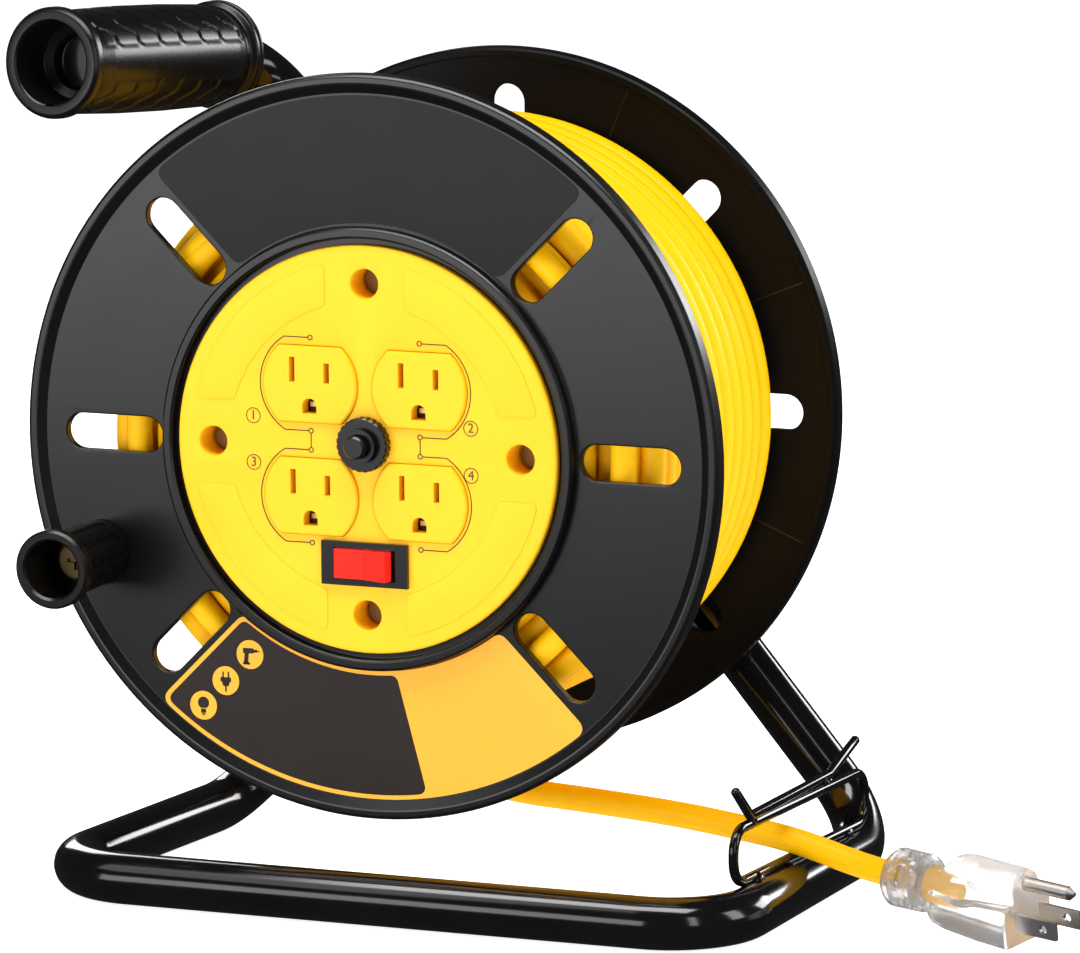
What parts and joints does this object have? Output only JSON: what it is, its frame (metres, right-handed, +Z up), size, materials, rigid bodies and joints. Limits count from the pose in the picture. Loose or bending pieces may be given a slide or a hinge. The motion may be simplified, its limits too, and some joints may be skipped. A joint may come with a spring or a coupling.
{
  "type": "extension cord reel",
  "caption": "Hand-cranked extension cord reel with a plastic drum and outlet panel turning on a bent tube stand with a carrying handle.",
  "frame": {"origin": "on the floor, below the middle of the box around everything but the cord and its plug", "axes": "+Z up, +Y from the outlet face towards the back along the axle, +X to the right when facing the outlets"},
  "size_m": [0.3871, 0.207, 0.3045],
  "materials": {
    "frame_paint": "gloss",
    "handle_plastic": "gloss",
    "reel_plastic": "satin",
    "face_yellow": "satin",
    "outlet_black": "satin",
    "knob_plastic": "satin",
    "rocker_red": "gloss",
    "zinc_steel": "satin",
    "brass": "satin",
    "cord_yellow": "satin",
    "label_dark": "satin",
    "plug_clear": "gloss",
    "plug_metal": "polished"
  },
  "bodies": {
    "frame": {"frame_foot": "frame_paint", "main_strut": "frame_paint", "side_strut": "frame_paint", "handle_grip": "handle_plastic", "cord_guide": "frame_paint", "plug_hook": "frame_paint", "axle_plate": "frame_paint", "thrust_washer": "zinc_steel", "head_washer": "zinc_steel", "lock_washer": "zinc_steel", "axle_bolt": "zinc_steel", "axle_nut": "zinc_steel", "plug_body": "plug_clear", "plug_strain_relief": "plug_clear", "plug_blades": "plug_metal", "plug_ground_pin": "plug_metal", "cord_tail": "cord_yellow"},
    "reel": {"front_flange": "reel_plastic", "back_flange": "reel_plastic", "drum_shell": "reel_plastic", "hub_boss": "reel_plastic", "hub_bushing": "reel_plastic", "screw_posts": "reel_plastic", "face_plate": "face_yellow", "face_plate_screws": "zinc_steel", "switch_pin": "zinc_steel", "outlet_1": "face_yellow", "outlet_2": "face_yellow", "outlet_3": "face_yellow", "outlet_4": "face_yellow", "outlet_contacts": "brass", "outlet_cover": "outlet_black", "breaker_body": "outlet_black", "breaker_nut": "outlet_black", "switch_housing": "outlet_black", "upper_label": "label_dark", "lower_label": "label_dark", "cord_winding": "cord_yellow", "cord_gland": "reel_plastic", "knob_screw": "zinc_steel", "knob_nut": "zinc_steel"},
    "crank_knob": {"crank_knob": "knob_plastic"},
    "switch_rocker": {"switch_rocker": "rocker_red"},
    "reset_button": {"reset_button": "outlet_black"}
  },
  "joints": [
    {"name": "reel_spin", "type": "hinge", "parent": "frame", "child": "reel", "pos_m": [0.0037, -0.0065, 0.1621], "axis": [0, 1, 0], "continuous": true},
    {"name": "crank_knob_spin", "type": "hinge", "parent": "reel", "child": "crank_knob", "pos_m": [-0.0972, -0.0835, 0.1207], "axis": [0, 1, 0], "continuous": true},
    {"name": "switch_rock", "type": "hinge", "parent": "reel", "child": "switch_rocker", "pos_m": [0.0034, -0.066, 0.1232], "axis": [0, 0, 1], "range_deg": [0, 18]},
    {"name": "reset_press", "type": "slide", "parent": "reel", "child": "reset_button", "axis": [0, 1, 0], "range_m": [0, 0.002], "stiffness_N_per_m": 600, "springref_m": -0.0005}
  ]
}
